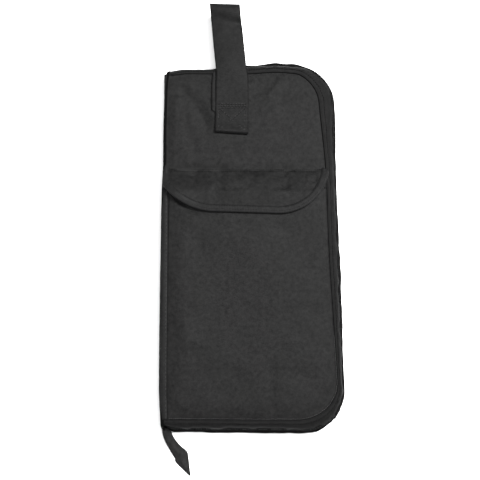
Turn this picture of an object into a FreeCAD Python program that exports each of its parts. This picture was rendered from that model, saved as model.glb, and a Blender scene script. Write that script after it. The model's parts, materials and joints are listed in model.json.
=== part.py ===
import FreeCAD, Part
import Sketcher
import math
import os
import re

# Drum stick bag, closed and lying on its back. Millimetres and degrees.
# +Z is up through the thickness, +Y runs along the bag to its handle and +X runs from the
# spine to the zip side. The origin is the centre of the back panel's outer face.

VECTOR = FreeCAD.Vector

SIZES = {
    # the two padded panels, and the gusset round three of their sides
    "panel_width": 210,
    "panel_length": 430,
    "corner_radius": 41,
    "middle": 13,
    "fabric": 1,
    "foam_thickness": 4,
    "foam_inset": 3,
    "lining": 0.8,
    "piping": 2.2,
    "seam_gap": 0.1,
    "bulge": 14.5,
    "gusset_round": 7,
    "zip_half": 5.5,
    # zip
    "tape": 0.8,
    "coil_width": 2.45,
    "coil_thickness": 1.2,
    "coil_gap": 0.55,
    "slider_place": 74,
    "slider_length": 13,
    "slider_width": 8.4,
    "slider_plate": 1.1,
    "slider_play": 0.3,
    "slider_inside": 0.9,
    "slider_post": 0.5,
    "post_length": 2.5,
    "bail_length": 8,
    "bail_width": 2.4,
    "bail_height": 2.2,
    "bail_wire": 0.9,
    "pin_radius": 0.45,
    "pin_place": 2.2,
    "arm_length": 7,
    "arm_gap": 0.3,
    "pull_length": 18,
    "pull_width": 8,
    "tail_place": 1.5,
    "tail_width": 20,
    "tail_length": 55,
    "tail_thickness": 1.6,
    "tail_shoulder": 6,
    "tail_shoulder_height": 43,
    "tail_cut_height": 13,
    "tail_lean": 37,
    "tail_bend_height": 33,
    "tail_root": 6.8,
    "tail_slope": 6.5,
    # spine
    "spine_seam": 5.8,
    "spine_gap": 0.3,
    "spine_lining": 0.5,
    "binding_width": 7,
    # pockets inside
    "pocket_inset": 14,
    "spine_inset": 8,
    "stick_pocket_length": 261,
    "stick_pocket_depth": 5.6,
    "slip_pocket_length": 161,
    "slip_pocket_depth": 5.2,
    "divider": 1,
    "hem_width": 8,
    "hem": 0.6,
    # pocket on the front, and its flap
    "front_pocket_depth": 5,
    "patch_length": 90,
    "patch": 0.9,
    "patch_gap": 0.3,
    "flap_drop": 121,
    "flap_length": 56,
    "flap_slope": 24,
    "flap_overhang": 0.5,
    "flap_corner": 28,
    "flap_lift": 1.3,
    # handle
    "handle_place": 20,
    "webbing_width": 40,
    "webbing": 1.5,
    "sewn_length": 38,
    "sewn_drop": 37,
    "loop_length": 127,
    "loop_height": 12.5,
    "loop_fold": 30,
    "loop_crown": 32,
    "loop_start": 2.3,
    "loop_gap": 0.2,
    "handle_lean": 5,
}

LEFT = "(-panel_width / 2)"
RIGHT = "(panel_width / 2)"
TOP = "(panel_length / 2)"
BOTTOM = "(-panel_length / 2)"
FACE = "(2 * middle)"
PADDED = "(fabric + foam_thickness + lining)"
SIDE = f"({TOP} + bulge)"
FLAP_SEAM = f"({TOP} - flap_drop)"
HINGE_LINE = f"({TOP} - sewn_drop)"
TOLERANCE = 0.01

doc = FreeCAD.newDocument("DrumStickBag")
sheet = doc.addObject("Spreadsheet::Sheet", "Sizes")
for row, (name, size) in enumerate(SIZES.items(), 1):
    sheet.set(f"A{row}", name)
    sheet.set(f"B{row}", str(size))
    sheet.setAlias(f"B{row}", name)
doc.recompute()

parts = []


def bound(expression):
    """The expression, with every size read from the sheet."""
    return re.sub(r"[a-z_]+", lambda word: f"Sizes.{word[0]}" if word[0] in SIZES else word[0], expression)


def number(expression):
    return float(sheet.evalExpression(bound(expression)))


def bind(obj, path, expression):
    obj.setExpression(path, bound(expression))


def place(obj, x="0", y="0", z="0"):
    for axis, expression in zip("xyz", (x, y, z)):
        bind(obj, f"Placement.Base.{axis}", expression)


def new_body(label):
    body = doc.addObject("PartDesign::Body", label)
    parts.append(body)
    return body


def new_sketch(body, role, offset):
    """A sketch on one of the body's origin planes, moved by offset in that plane's own axes."""
    sketch = body.newObject("Sketcher::SketchObject", f"{body.Name}_sketch")
    plane = next(feature for feature in body.Origin.OriginFeatures if feature.Role == role)
    sketch.AttachmentSupport = (plane, [""])
    sketch.MapMode = "FlatFace"
    for axis, expression in zip("xyz", offset):
        bind(sketch, f"AttachmentOffset.Base.{axis}", expression)
    return sketch


def dimension(sketch, expression, *constraint):
    index = sketch.addConstraint(Sketcher.Constraint(*constraint, number(expression)))
    bind(sketch, f"Constraints[{index}]", expression)


def rounded_box(sketch, width, length, radii=(None, None, None, None)):
    """A box from the sketch's origin, each corner square or rounded, in order round from the origin."""
    wide = number(width)
    long = number(length)
    corners = [VECTOR(0, 0, 0), VECTOR(wide, 0, 0), VECTOR(wide, long, 0), VECTOR(0, long, 0)]
    along = [VECTOR(1, 0, 0), VECTOR(0, 1, 0), VECTOR(-1, 0, 0), VECTOR(0, -1, 0)]
    size = [number(radius) if radius else 0 for radius in radii]
    sides = []
    chain = []
    for i in range(4):
        if radii[i]:
            middle = corners[i] + along[i] * size[i] - along[i - 1] * size[i]
            start = math.radians(180 + 90 * i)
            circle = Part.Circle(middle, VECTOR(0, 0, 1), size[i])
            arc = sketch.addGeometry(Part.ArcOfCircle(circle, start, start + math.pi / 2), False)
            dimension(sketch, radii[i], "Radius", arc)
            chain.append((arc, True))
        after = (i + 1) % 4
        first = corners[i] + along[i] * size[i]
        last = corners[after] - along[i] * size[after]
        sides.append(sketch.addGeometry(Part.LineSegment(first, last), False))
        chain.append((sides[-1], False))
    for (one, one_round), (two, two_round) in zip(chain, chain[1:] + chain[:1]):
        kind = "Tangent" if one_round or two_round else "Coincident"
        sketch.addConstraint(Sketcher.Constraint(kind, one, 2, two, 1))
    for side, kind in zip(sides, ("Horizontal", "Vertical", "Horizontal", "Vertical")):
        sketch.addConstraint(Sketcher.Constraint(kind, side))
    sketch.addConstraint(Sketcher.Constraint("PointOnObject", sides[0], 1, -1))
    sketch.addConstraint(Sketcher.Constraint("PointOnObject", sides[3], 1, -2))
    dimension(sketch, width, "DistanceX", -1, 1, sides[1], 1)
    dimension(sketch, length, "DistanceY", -1, 1, sides[2], 1)


def polygon(sketch, points):
    """A closed outline of straight lines; no point is left of or below the sketch's origin."""
    flat = [VECTOR(number(x), number(y), 0) for x, y in points]
    for one, two in zip(flat, flat[1:] + flat[:1]):
        sketch.addGeometry(Part.LineSegment(one, two), False)
    for i, (x, y) in enumerate(points):
        sketch.addConstraint(Sketcher.Constraint("Coincident", i, 1, (i - 1) % len(points), 2))
        for kind, expression, axis in (("DistanceX", x, -2), ("DistanceY", y, -1)):
            if expression == "0":
                sketch.addConstraint(Sketcher.Constraint("PointOnObject", i, 1, axis))
            else:
                dimension(sketch, expression, kind, -1, 1, i, 1)


def pad(body, sketch, length):
    feature = body.newObject("PartDesign::Pad", f"{body.Name}_pad")
    feature.Profile = sketch
    bind(feature, "Length", length)
    sketch.Visibility = False
    doc.recompute()
    return feature


def cut(body, sketch, length):
    """A pocket along the sketch's own normal, which has to take something away."""
    before = body.Shape.Volume
    feature = body.newObject("PartDesign::Pocket", f"{body.Name}_pocket")
    feature.Profile = sketch
    feature.Reversed = True
    bind(feature, "Length", length)
    sketch.Visibility = False
    doc.recompute()
    if body.Shape.Volume > before - TOLERANCE:
        raise RuntimeError(f"{body.Label}: the pocket cuts nothing")
    return feature


def fillet(body, radius, wanted):
    """Rounds the edges that wanted picks out of the body's last feature."""
    base = body.Tip
    names = [f"Edge{i}" for i, edge in enumerate(base.Shape.Edges, 1) if wanted(edge)]
    feature = body.newObject("PartDesign::Fillet", f"{body.Name}_fillet")
    feature.Base = (base, names)
    bind(feature, "Radius", radius)
    doc.recompute()
    return feature


def plate(label, x, y, z, radii=(None, None, None, None)):
    """A flat piece between the low and high x, y and z, with square or rounded corners."""
    body = new_body(label)
    sketch = new_sketch(body, "XY_Plane", (x[0], y[0], z[0]))
    rounded_box(sketch, f"{x[1]} - ({x[0]})", f"{y[1]} - ({y[0]})", radii)
    pad(body, sketch, f"{z[1]} - ({z[0]})")
    return body


def outline(body, grow, low, past="0"):
    """The panels' outline, larger by grow on the three zipped sides and by past at the spine."""
    sketch = new_sketch(body, "XY_Plane", (f"{LEFT} - ({past})", f"{BOTTOM} - ({grow})", low))
    corner = f"corner_radius + {grow}"
    width = f"panel_width + ({past}) + {grow}"
    rounded_box(sketch, width, f"panel_length + 2 * ({grow})", (None, corner, corner, None))
    return sketch


def layer(label, grow, low, high, past="0"):
    body = new_body(label)
    pad(body, outline(body, grow, low, past), f"{high} - ({low})")
    return body


def band(label, inner, outer, low, high):
    """A strip on edge round the three zipped sides, open at the spine."""
    body = layer(label, outer, low, high)
    cut(body, outline(body, inner, low, "1"), f"{high} - ({low})")
    return body


def tool_layer(label, grow, low, high, past="0"):
    """A layer that only cuts another piece, and isn't one itself."""
    body = layer(label, grow, low, high, past)
    parts.remove(body)
    return body


def gusset(label):
    """The soft side wall: it leaves the panel flat, turns up in a round and ends at the zip tape."""
    left = number(LEFT)

    def round_foot(body, height, radius):
        def wanted(edge):
            flat = all(abs(vertex.Z - height) < TOLERANCE for vertex in edge.Vertexes)
            return flat and edge.CenterOfMass.x > left + TOLERANCE

        fillet(body, radius, wanted)

    outside = tool_layer(f"{label}_outside", "bulge", "0", "middle - zip_half")
    round_foot(outside, 0, "gusset_round")
    inside = tool_layer(f"{label}_inside", "bulge - fabric", "fabric", "middle", "fabric")
    round_foot(inside, number("fabric"), "gusset_round - fabric")
    panel_side = tool_layer(f"{label}_panel_side", "piping + 2 * seam_gap", "0", "middle", "fabric")
    hollow = doc.addObject("Part::MultiFuse", f"{label}_hollow")
    hollow.Shapes = [inside, panel_side]
    wall = doc.addObject("Part::Cut", label)
    wall.Base = outside
    wall.Tool = hollow
    parts.append(wall)
    return wall


def half(side):
    """One padded half: panel, foam, lining, piping, gusset and its side of the zip."""
    coil_top = "middle - coil_gap"
    pieces = [
        layer(f"{side}_panel", "0", "0", "fabric"),
        layer(f"{side}_foam", "-foam_inset", "fabric", "fabric + foam_thickness", "-foam_inset"),
        layer(f"{side}_lining", "0", "fabric + foam_thickness", PADDED),
        band(f"{side}_piping", "seam_gap", "piping + seam_gap", "0", "piping"),
        gusset(f"{side}_gusset"),
        band(f"{side}_zip_tape", "bulge - tape", "bulge", "middle - zip_half", coil_top),
        band(
            f"{side}_zip_coil",
            "bulge + seam_gap / 2",
            "bulge + seam_gap / 2 + coil_thickness",
            f"{coil_top} - coil_width",
            coil_top,
        ),
    ]
    if side == "front":
        for piece in pieces:
            piece.Placement.Rotation = FreeCAD.Rotation(VECTOR(1, 0, 0), 180)
            place(piece, z=FACE)


def spine():
    """The narrow side between the panels' seams, and the tape that binds each seam."""
    outer = f"{LEFT} - spine_gap - spine_lining"
    ends = (f"-{SIDE} + 2 * fabric", f"{SIDE} - 2 * fabric")
    height = ("spine_seam + spine_gap", f"{FACE} - spine_seam - spine_gap")
    plate("spine_panel", (f"{outer} - fabric", outer), ends, height)
    plate("spine_lining", (outer, f"{LEFT} - spine_gap"), ends, height)
    strip = (LEFT, f"{LEFT} + binding_width")
    whole = (BOTTOM, TOP)
    plate("front_spine_binding", strip, whole, (FACE, f"{FACE} + fabric"))
    low = PADDED
    plate("back_spine_binding", strip, whole, (low, f"{low} + hem"))


def inside_pockets():
    """The stick pocket sewn to the back lining, in three channels, and the slip pocket facing it."""
    x = (f"{LEFT} + spine_inset", f"{RIGHT} - pocket_inset")
    width = f"({x[1]} - ({x[0]}))"
    y = (f"{BOTTOM} + pocket_inset", f"{BOTTOM} + pocket_inset + stick_pocket_length")
    top = f"({PADDED} + stick_pocket_depth + lining)"
    sticks = plate("stick_pocket", x, y, (PADDED, top))
    channel = f"(({width} - 4 * divider) / 3)"
    for i in range(3):
        start = f"{x[0]} + divider + {i} * ({channel} + divider)"
        sketch = new_sketch(sticks, "XY_Plane", (start, f"{y[0]} + divider", PADDED))
        rounded_box(sketch, channel, "stick_pocket_length")
        cut(sticks, sketch, "stick_pocket_depth")
    plate("stick_pocket_hem", x, (f"{y[1]} - hem_width", y[1]), (top, f"{top} + hem"))

    y = (y[0], f"{y[0]} + slip_pocket_length")
    ceiling = f"({FACE} - {PADDED})"
    low = f"({ceiling} - slip_pocket_depth - lining)"
    slip = plate("slip_pocket", x, y, (low, ceiling))
    sketch = new_sketch(slip, "XY_Plane", (f"{x[0]} + divider", f"{y[0]} + divider", f"{low} + lining"))
    rounded_box(sketch, f"{width} - 2 * divider", "slip_pocket_length")
    cut(slip, sketch, "slip_pocket_depth")
    plate("slip_pocket_hem", x, (f"{y[1]} - hem_width", y[1]), (f"{low} - hem", low))


def front_pocket():
    """The flat pocket that covers the front below the flap, open at its top edge."""
    x = (f"{LEFT} + binding_width + spine_gap", f"{RIGHT} - fabric")
    y = (f"{BOTTOM} + fabric", f"{FLAP_SEAM} - flap_length / 2")
    skin = f"({FACE} + front_pocket_depth + fabric)"
    corner = "corner_radius - fabric"
    body = plate("front_pocket", x, y, (FACE, skin), (None, corner, None, None))
    sketch = new_sketch(body, "XY_Plane", (f"{x[0]} + fabric", f"{y[0]} + fabric", FACE))
    width = f"{x[1]} - ({x[0]}) - 2 * fabric"
    rounded_box(sketch, width, f"{y[1]} - ({y[0]})", (None, f"{corner} - fabric", None, None))
    cut(body, sketch, "front_pocket_depth")
    plate("front_pocket_hem", x, (f"{y[1]} - hem_width", y[1]), (skin, f"{skin} + hem"))

    patch_x = ("-patch_length / 2", "patch_length / 2")
    patch_end = f"{FLAP_SEAM} - flap_length + binding_width + seam_gap"
    patch_y = (patch_end, f"{y[1]} - hem_width - seam_gap")
    hook_top = f"({skin} + patch)"
    plate("hook_patch", patch_x, patch_y, (skin, hook_top))
    flap_low = f"({hook_top} + patch_gap + patch)"
    plate("loop_patch", patch_x, patch_y, (f"{hook_top} + patch_gap", flap_low))
    flap(flap_low)


def flap(low):
    """The pocket's flap, sewn above the mouth: it slopes up over the mouth and then lies flat."""
    root = f"({FACE} + flap_lift)"
    rise = f"({low} - {root})"
    end = f"({FLAP_SEAM} - flap_length)"
    left = f"({LEFT} - flap_overhang)"
    width = "(panel_width + 2 * flap_overhang)"
    flat = "(flap_length - flap_slope)"
    body = new_body("flap_panel")
    sketch = new_sketch(body, "YZ_Plane", (end, root, left))
    polygon(sketch, [
        ("0", rise),
        (flat, rise),
        ("flap_length", "0"),
        ("flap_length", "fabric"),
        (flat, f"{rise} + fabric"),
        ("0", f"{rise} + fabric"),
    ])
    pad(body, sketch, width)
    edge_y = number(end)

    def free_corner(edge):
        ends = edge.Vertexes
        upright = abs(ends[0].Z - ends[-1].Z) > number("fabric") / 2
        return upright and all(abs(vertex.Y - edge_y) < TOLERANCE for vertex in ends)

    fillet(body, "flap_corner", free_corner)
    top = f"({low} + fabric)"
    binding = new_body("flap_binding")
    corner = "flap_corner"
    sketch = new_sketch(binding, "XY_Plane", (left, end, top))
    rounded_box(sketch, width, flat, (corner, corner, None, None))
    pad(binding, sketch, "hem")
    inset = "binding_width"
    sketch = new_sketch(binding, "XY_Plane", (f"{left} + {inset}", f"{end} + {inset}", top))
    inner = f"{corner} - {inset}"
    rounded_box(sketch, f"{width} - 2 * {inset}", flat, (inner, inner, None, None))
    cut(binding, sketch, "hem")


def handle():
    """A webbing loop whose two ends are sewn to the front panel, one over the other."""
    x = ("-handle_place - webbing_width / 2", "-handle_place + webbing_width / 2")
    plate(
        "handle_sewn_ends",
        x,
        (f"{HINGE_LINE} - sewn_length", HINGE_LINE),
        (FACE, f"{FACE} + 2 * webbing"),
    )
    body = new_body("handle_webbing")
    side = "-webbing_width / 2"
    both = "2 * webbing"
    fold_start = "(loop_length - loop_fold)"
    crown_start = f"({fold_start} - loop_crown)"
    sketch = new_sketch(body, "YZ_Plane", ("0", "0", side))
    polygon(sketch, [
        ("loop_start", "0"),
        ("loop_length", "0"),
        ("loop_length", both),
        (fold_start, "loop_height"),
        (crown_start, "loop_height"),
        ("sewn_drop", both),
        ("loop_start", both),
    ])
    pad(body, sketch, "webbing_width")
    sketch = new_sketch(body, "YZ_Plane", ("0", "0", side))
    polygon(sketch, [
        ("sewn_drop", "webbing"),
        ("loop_length - 2 * webbing", "webbing"),
        (f"{fold_start} - webbing / 2", "loop_height - webbing"),
        (f"{crown_start} + webbing / 2", "loop_height - webbing"),
    ])
    cut(body, sketch, "webbing_width")
    body.Placement.Rotation = FreeCAD.Rotation(VECTOR(0, 0, 1), SIZES["handle_lean"])
    place(body, "-handle_place", HINGE_LINE, f"{FACE} + loop_gap")


def box(x, y, z):
    """A plain box between the low and high x, y and z."""
    shape = doc.addObject("Part::Box", "Block")
    place(shape, x[0], y[0], z[0])
    for path, (low, high) in zip(("Length", "Width", "Height"), (x, y, z)):
        bind(shape, path, f"{high} - ({low})")
    return shape


def joined(label, shapes):
    fuse = doc.addObject("Part::MultiFuse", label)
    fuse.Shapes = shapes
    parts.append(fuse)
    return fuse


def slider():
    """The zip slider on the top edge, near the closed end of the zip, with its bail and pull."""
    place_x = f"({LEFT} + slider_place)"
    x = (f"{place_x} - slider_length / 2", f"{place_x} + slider_length / 2")
    z = ("middle - slider_width / 2", "middle + slider_width / 2")
    inner = f"({SIDE} - tape - slider_inside)"
    outer = f"({SIDE} + seam_gap / 2 + coil_thickness + slider_play)"
    face = f"({outer} + slider_plate)"
    joined("slider_body", [
        box(x, (f"{inner} - slider_plate", inner), z),
        box(x, (outer, face), z),
        box(
            (x[0], f"{x[0]} + post_length"),
            (inner, outer),
            ("middle - slider_post / 2", "middle + slider_post / 2"),
        ),
    ])
    bail_x = (f"{place_x} - bail_length / 2", f"{place_x} + bail_length / 2")
    bail_z = ("middle - bail_width / 2", "middle + bail_width / 2")
    hole = doc.addObject("Part::Cut", "slider_bail")
    hole.Base = box(bail_x, (face, f"{face} + bail_height"), bail_z)
    hole.Tool = box(
        (f"{bail_x[0]} + bail_wire", f"{bail_x[1]} - bail_wire"),
        (face, f"{face} + bail_height - bail_wire"),
        bail_z,
    )
    parts.append(hole)

    pin_x = f"({place_x} + pin_place)"
    pin_y = f"({face} + (bail_height - bail_wire) / 2)"
    reach = "(bail_width / 2 + arm_gap + bail_wire)"
    pin = doc.addObject("Part::Cylinder", "Pin")
    bind(pin, "Radius", "pin_radius")
    bind(pin, "Height", f"2 * {reach}")
    place(pin, pin_x, pin_y, f"middle - {reach}")
    thick = (f"{pin_y} - pin_radius", f"{pin_y} + pin_radius")
    arm_x = (pin_x, f"{pin_x} + arm_length")
    joined("pull_tab", [
        pin,
        box(arm_x, thick, (f"middle - {reach}", f"middle - {reach} + bail_wire")),
        box(arm_x, thick, (f"middle + {reach} - bail_wire", f"middle + {reach}")),
        box(
            (f"{pin_x} + arm_length", f"{pin_x} + arm_length + pull_length"),
            thick,
            ("middle - pull_width / 2", "middle + pull_width / 2"),
        ),
    ])


def tail():
    """The end of the zip tape, folded flat, slanting down from the bag's corner with a cut tip."""
    body = new_body("tail_tape")
    sketch = new_sketch(body, "XY_Plane", ("0", "-tail_length", "0"))
    polygon(sketch, [
        ("0", "tail_length"),
        ("tail_shoulder", "tail_shoulder_height"),
        ("tail_width", "tail_cut_height"),
        ("tail_lean", "0"),
        ("tail_lean", "tail_bend_height"),
        ("tail_width", "tail_length"),
    ])
    pad(body, sketch, "tail_thickness")
    body.Placement.Rotation = FreeCAD.Rotation(VECTOR(1, 0, 0), SIZES["tail_slope"])
    place(body, f"{LEFT} + tail_place", f"-{SIDE} - coil_thickness - slider_play - seam_gap", "tail_root")


half("back")
half("front")
spine()
inside_pockets()
front_pocket()
handle()
slider()
tail()

doc.recompute()
for obj in doc.Objects:
    if {"Invalid", "Error"} & set(obj.State):
        raise RuntimeError(f"{obj.Label} failed: {obj.State}")
for obj in parts:
    if obj.Shape.isNull() or not obj.Shape.isValid() or not obj.Shape.Solids:
        raise RuntimeError(f"{obj.Label} has no valid solid")

os.makedirs("parts", exist_ok=True)
for obj in parts:
    obj.Shape.exportStep(f"parts/{obj.Label}.step")
    size = obj.Shape.BoundBox
    print(f"{obj.Label}: {size.XLength:.1f} x {size.YLength:.1f} x {size.ZLength:.1f} mm")
print(f"{len(parts)} sub-parts")
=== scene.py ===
import json
import math

import bpy
import numpy as np
from mathutils import Matrix, Vector


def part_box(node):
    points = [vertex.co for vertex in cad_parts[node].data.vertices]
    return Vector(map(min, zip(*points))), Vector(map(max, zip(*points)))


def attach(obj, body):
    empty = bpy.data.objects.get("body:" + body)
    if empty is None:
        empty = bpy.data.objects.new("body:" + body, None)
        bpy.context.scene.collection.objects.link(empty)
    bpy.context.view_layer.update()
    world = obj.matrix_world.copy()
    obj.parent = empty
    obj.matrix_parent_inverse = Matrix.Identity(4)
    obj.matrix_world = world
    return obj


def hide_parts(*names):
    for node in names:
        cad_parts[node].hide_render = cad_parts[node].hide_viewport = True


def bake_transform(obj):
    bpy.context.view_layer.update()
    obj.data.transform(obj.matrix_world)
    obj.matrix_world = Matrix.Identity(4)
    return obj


# The looks of a padded drum stick bag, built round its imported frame.
# Shapes are worked out in millimetres and turned into metres where a mesh is made.
# +X runs from the spine to the zip side, +Y towards the handle, +Z up through the thickness.

MM = 0.001
PI = math.pi

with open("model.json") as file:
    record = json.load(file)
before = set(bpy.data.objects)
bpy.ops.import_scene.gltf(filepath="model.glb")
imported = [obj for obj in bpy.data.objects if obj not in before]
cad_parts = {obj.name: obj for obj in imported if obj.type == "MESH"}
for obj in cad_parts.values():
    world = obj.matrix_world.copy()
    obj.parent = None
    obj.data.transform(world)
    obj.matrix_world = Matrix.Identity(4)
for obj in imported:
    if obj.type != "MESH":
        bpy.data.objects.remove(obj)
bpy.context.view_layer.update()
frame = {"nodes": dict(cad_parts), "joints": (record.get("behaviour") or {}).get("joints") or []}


def span(node):
    """A CAD node's lowest and highest corner, in millimetres."""
    low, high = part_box(node)
    return np.array(low) / MM, np.array(high) / MM


# Places taken from the frame.
panel_low, panel_high = span("front_panel")
LEFT, RIGHT = panel_low[0], panel_high[0]
HALF_LENGTH = panel_high[1]
FACE = panel_high[2]
MIDDLE = FACE / 2
REACH = span("front_gusset")[1][0] - RIGHT
FLAP_SEAM = span("flap_panel")[1][1]
FLAP_END = span("flap_panel")[0][1]
POCKET_LOW, POCKET_HIGH = span("front_pocket")
HINGE_LINE = span("handle_sewn_ends")[1][1]
SEWN_END = span("handle_sewn_ends")[0][1]
BACK_LINING_TOP = span("back_lining")[1][2]
FRONT_LINING_LOW = span("front_lining")[0][2]
ZIP_START = span("slider_body")[0][0]

# Thicknesses of the cloths, tapes and webbing.
CLOTH = 0.8
LINING_CLOTH = 0.5
POCKET_LINING = 0.6
SPINE_LINING = 0.4
SEAM_TAPE = 0.6
FASTENER_TAPE = 0.9
ZIP_TAPE_THICKNESS = 0.7
TAIL_THICKNESS = 1.2
WEBBING_THICKNESS = 1.4

# Corners of the sewn outline, on the zip side.
SEAM_TOP_CORNER = 34
SEAM_BOTTOM_CORNER = 48
ZIP_CORNER = 50

STITCH_PITCH = 3.2
STITCH_LENGTH = 2.3
STITCH_RADIUS = 0.3
SEAM_PITCH = 2.7


# ---- shaping


def smooth(t, start=0, length=1):
    """0 before the start, 1 a length past it and an even curve between."""
    t = np.clip((t - start) / length, 0, 1)
    return t * t * (3 - 2 * t)


def hill(t, middle=0, width=1):
    """1 in the middle, fading evenly to both sides."""
    return np.exp(-np.square((t - middle) / width))


def ripple(x, y, wavelength, seed, waves=8):
    """An uneven surface, about 1 high, of waves of about that length in all directions."""
    draw = np.random.default_rng(seed)
    total = np.zeros(np.broadcast(x, y).shape)
    for _ in range(waves):
        turn, phase = draw.uniform(0, 2 * PI, 2)
        length = wavelength * draw.uniform(0.7, 1.5)
        total += np.sin((x * math.cos(turn) + y * math.sin(turn)) * 2 * PI / length + phase)
    return total / math.sqrt(waves)


def rippled(x, y, ripples):
    """The height of several ripples, each given as its height, wavelength and seed."""
    return sum(height * ripple(x, y, wavelength, seed) for height, wavelength, seed in ripples)


def crease(x, y, start, end, width, bow):
    """1 along the line from start to end, which may bow, fading over width and at both ends."""
    fade = 0.3
    run = np.subtract(end, start)
    length = np.hypot(*run)
    along = ((x - start[0]) * run[0] + (y - start[1]) * run[1]) / length**2
    across = ((x - start[0]) * run[1] - (y - start[1]) * run[0]) / length
    across = across - bow * 4 * along * (1 - along)
    return hill(across / width) * smooth(along / fade) * smooth((1 - along) / fade)


def creased(x, y, creases):
    """The height of several creases, each given as its height, start, end, width and bow."""
    return sum(height * crease(x, y, *line) for height, *line in creases)


def puckered(x, y, puckers):
    """Dents and bumps near the flap's seam: height, x, width, distance above the seam and length."""
    above = y - FLAP_SEAM
    return sum(
        height * hill(x, place, width) * hill(above, distance, length)
        for height, place, width, distance, length in puckers
    )


def spine_shift(y):
    """How far the spine edge is drawn in: least below its middle and most at its two ends."""
    bow = 1.7 + 2.2 * ((y + 60) / 240) ** 2
    beside_flap = 1.2 * hill(y, 105, 25)
    top_corner = 1.7 * smooth(y, 195, 30)
    bottom_corner = 2.4 * smooth(-y, 180, 45)
    return bow + beside_flap + top_corner + bottom_corner


def top_rise(x):
    """How far the top edge stands above a straight line, in soft steps."""
    step = 1.9 * smooth(x, -94, 20)
    hump = 2.7 * hill(x, 38, 27)
    before_corner = 1 - smooth(x, 62, 26)
    return (step + hump) * before_corner


ZIP_SIDE_START, SPINE_SIDE_START = -40, -20
LEAN_EASE = 1.6
TOP_START, TOP_LENGTH = 130, 85


def leaned(points, zip_shift, zip_slope):
    """The empty bag isn't square: it narrows towards its top, and its top edge rises in soft steps."""
    points = np.array(points, float)
    x, y = points[..., 0], points[..., 1]
    zip_side = np.clip((x - ZIP_SIDE_START) / (RIGHT - ZIP_SIDE_START), 0, 1) ** LEAN_EASE
    spine_side = np.clip((SPINE_SIDE_START - x) / (SPINE_SIDE_START - LEFT), 0, 1) ** LEAN_EASE
    points[..., 0] = x + zip_side * (zip_shift + zip_slope * y) + spine_side * spine_shift(y)
    points[..., 1] = y + top_rise(points[..., 0]) * smooth((y - TOP_START) / TOP_LENGTH)
    return points


def front(points):
    """Points on the front half, as the sewn bag holds them: it bellies out beside the flap."""
    points = leaned(points, zip_shift=-1.9, zip_slope=-0.064)
    beside_flap = smooth(points[..., 0], 20, 80) * hill(points[..., 1], 95, 70)
    points[..., 0] += 3.4 * beside_flap
    return points


def back(points):
    """Points on the back half and on the zip line."""
    return leaned(points, zip_shift=-2.5, zip_slope=-0.03)


END_COUNT, CORNER_COUNT, SIDE_COUNT = 64, 22, 120


def arc(x, y, radius, start, end):
    turn = np.linspace(start, end, CORNER_COUNT, False)
    return np.stack([x + radius * np.cos(turn), y + radius * np.sin(turn)], 1)


def outline(reach, top_corner, bottom_corner):
    """Points round the zipped edge, reach outside the panels, from the spine's top end to its bottom one."""
    high, right = HALF_LENGTH + reach, RIGHT + reach
    top_x, bottom_x = right - top_corner, right - bottom_corner
    top_y, bottom_y = high - top_corner, bottom_corner - high
    runs = [
        np.stack([np.linspace(LEFT, top_x, END_COUNT, False), np.full(END_COUNT, high)], 1),
        arc(top_x, top_y, top_corner, PI / 2, 0),
        np.stack([np.full(SIDE_COUNT, right), np.linspace(top_y, bottom_y, SIDE_COUNT, False)], 1),
        arc(bottom_x, bottom_y, bottom_corner, 0, -PI / 2),
        np.stack([np.linspace(bottom_x, LEFT, END_COUNT), np.full(END_COUNT, -high)], 1),
    ]
    return np.concatenate(runs)


def rim_distance(x, y, inset=0.0):
    """How far a point lies inside the panels' outline, on its zipped sides."""
    corner = np.where(y > 0, SEAM_TOP_CORNER, SEAM_BOTTOM_CORNER) - inset
    across = x - (RIGHT - inset - corner)
    along = np.abs(y) - (HALF_LENGTH - inset - corner)
    outside = np.hypot(np.maximum(across, 0), np.maximum(along, 0))
    return corner - outside - np.minimum(np.maximum(across, along), 0)


def right_edge(y, inset=0.0):
    """Where the panels' outline lies on the zip side, at that y."""
    corner = np.where(y > 0, SEAM_TOP_CORNER, SEAM_BOTTOM_CORNER) - inset
    past = np.clip(np.abs(y) - (HALF_LENGTH - inset - corner), 0, corner)
    return RIGHT - inset - corner + np.sqrt(np.maximum(corner**2 - past**2, 0))


def unit(vectors):
    return vectors / np.maximum(np.linalg.norm(vectors, axis=-1, keepdims=True), 1e-9)


def lengths(path):
    """How far along its path each point is."""
    steps = np.linalg.norm(np.diff(path, axis=0), axis=1)
    return np.concatenate([[0], np.cumsum(steps)])


def spaced(path, pitch):
    """Points a pitch apart along a path, and the path's direction at each."""
    near = 0.2
    along = lengths(path)
    count = max(2, round(along[-1] / pitch))
    at = (np.arange(count) + 0.5) * along[-1] / count

    def point(place):
        return np.stack([np.interp(place, along, path[:, k]) for k in range(3)], 1)

    return point(at), unit(point(at + near) - point(at - near))


def rows_between(low, high, step, fine=0.0):
    """Evenly spaced values, with some more close to both ends where fine is given."""
    count = max(3, round((high - low) / step))
    t = np.linspace(0, 1, count)
    if fine:
        t = t * (1 - fine) + fine * (1 - np.cos(PI * t)) / 2
    return low + (high - low) * t


def on(height, x, y, lift=0.0):
    """Points at x and y on a surface given by its height."""
    x, y = np.broadcast_arrays(np.asarray(x, float), np.asarray(y, float))
    return np.stack([x, y, height(x, y) + lift], -1)


# ---- making meshes


def grid_faces(rows, columns, around):
    index = np.arange(rows * columns).reshape(rows, columns)
    if around:
        index = np.concatenate([index, index[:, :1]], axis=1)
    corners = (index[:-1, :-1], index[:-1, 1:], index[1:, 1:], index[1:, :-1])
    return np.stack(corners, -1).reshape(-1, 4)


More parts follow.
